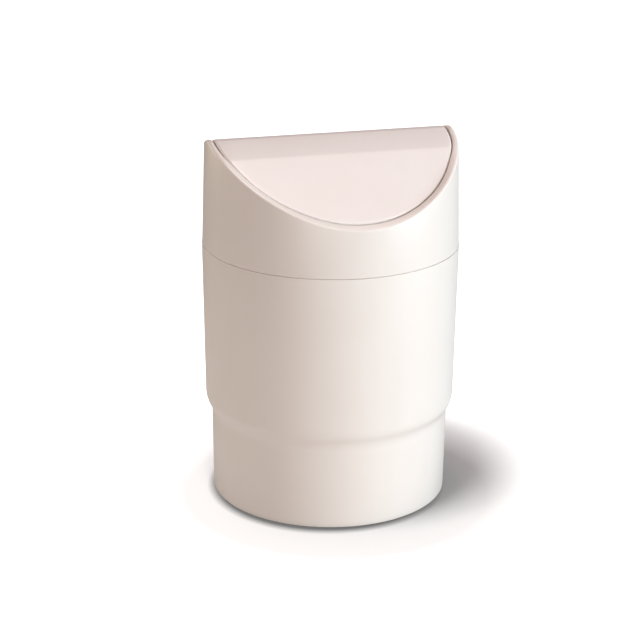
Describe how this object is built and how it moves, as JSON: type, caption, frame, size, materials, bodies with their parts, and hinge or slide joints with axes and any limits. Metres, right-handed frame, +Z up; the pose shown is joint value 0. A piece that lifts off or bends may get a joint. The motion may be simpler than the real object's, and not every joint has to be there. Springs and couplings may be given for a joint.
{
  "type": "countertop trash can",
  "caption": "Round stepped countertop trash can with a lift-off collar and a ridged flap that swings both ways in an arched mouth.",
  "frame": {"origin": "centre of the foot ring on the table", "axes": "+Z up along the tub's axis; X along the ridge of the flap; -Y towards the front leaf"},
  "size_m": [0.1304, 0.1304, 0.1876],
  "materials": {
    "body_plastic": "warm white moulded plastic, satin gloss",
    "collar_plastic": "warm white moulded plastic, satin gloss",
    "flap_plastic": "warm white moulded plastic, satin gloss"
  },
  "bodies": {
    "tub": {"bin_body": "body_plastic"},
    "collar": {"lid_ring": "collar_plastic"},
    "flap": {"swing_flap": "flap_plastic"}
  },
  "joints": [
    {"name": "lid_lift", "type": "slide", "parent": "tub", "child": "collar", "axis": [0, 0, 1], "range_m": [0, 0.06]},
    {"name": "flap_swing", "type": "hinge", "parent": "collar", "child": "flap", "pos_m": [0, 0, 0.178], "axis": [1, 0, 0], "range_deg": [-90, 90]}
  ]
}
